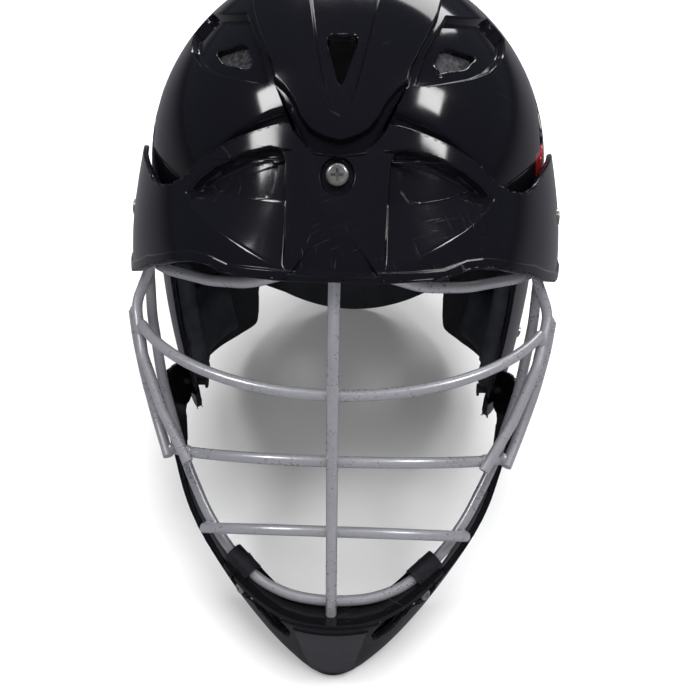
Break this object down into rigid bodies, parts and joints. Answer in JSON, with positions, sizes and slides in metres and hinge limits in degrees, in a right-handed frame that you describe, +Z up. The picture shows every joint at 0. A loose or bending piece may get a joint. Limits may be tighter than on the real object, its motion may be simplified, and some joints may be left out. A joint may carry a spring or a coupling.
{
  "type": "lacrosse helmet",
  "caption": "Lacrosse helmet: moulded shell with a bolted visor, a welded wire cage, a chin guard, foam pads and a nape dial that draws two fit bands in.",
  "frame": {"origin": "middle of the footprint, on the table, below the helmet", "axes": "X to the wearer's left, +Y to the wearer's back and -Y to the face, +Z up; the helmet leans back 26 degrees from how it is worn and stands on its chin guard and nape"},
  "size_m": [0.2264, 0.344, 0.2665],
  "materials": {
    "shell": "gloss",
    "visor": "gloss",
    "chin_guard": "gloss",
    "wire": "satin silver-grey paint",
    "clip": "matt",
    "screw": "zinc plated",
    "dial": "matt",
    "band": "satin",
    "foam": "dark cloth over foam"
  },
  "bodies": {
    "helmet": {"brow_bar": "wire", "brow_pad": "foam", "centre_bar": "wire", "chin_guard": "chin_guard", "chin_wire": "wire", "clip_nuts": "screw", "clip_screws": "screw", "crown_pad": "foam", "dial_housing": "dial", "housing_screws": "screw", "left_cage_clamp": "clip", "left_chin_clip": "clip", "left_crown_pad": "foam", "left_jaw_pad": "foam", "left_outer_wire": "wire", "left_side_pad": "foam", "left_side_wire": "wire", "mouth_bar": "wire", "nose_bar": "wire", "rear_pad": "foam", "right_cage_clamp": "clip", "right_chin_clip": "clip", "right_crown_pad": "foam", "right_jaw_pad": "foam", "right_outer_wire": "wire", "right_side_pad": "foam", "right_side_wire": "wire", "shell": "shell", "side_nuts": "screw", "side_screws": "screw", "snap_studs": "screw", "strap_rivets": "clip", "top_wire": "wire", "visor": "visor", "visor_nut": "screw", "visor_screw": "screw"},
    "dial": {"fit_dial": "dial", "fit_pinion": "dial"},
    "left_band": {"left_fit_band": "band", "left_occiput_pad": "foam"},
    "right_band": {"right_fit_band": "band", "right_occiput_pad": "foam"}
  },
  "joints": [
    {"name": "dial_turn", "type": "hinge", "parent": "helmet", "child": "dial", "pos_m": [0, 0.11202, 0.03395], "axis": [0, -0.8988, 0.4384], "range_deg": [0, 150]},
    {"name": "left_band_slide", "type": "slide", "parent": "helmet", "child": "left_band", "axis": [-1, 0, 0], "range_m": [0, 0.00942]},
    {"name": "right_band_slide", "type": "slide", "parent": "helmet", "child": "right_band", "axis": [1, 0, 0], "range_m": [0, 0.00942]}
  ],
  "couplings": [
    {"joint": "dial_turn", "follows": "left_band_slide", "rad_per_m": 277.78},
    {"joint": "right_band_slide", "follows": "left_band_slide", "ratio": 1}
  ]
}
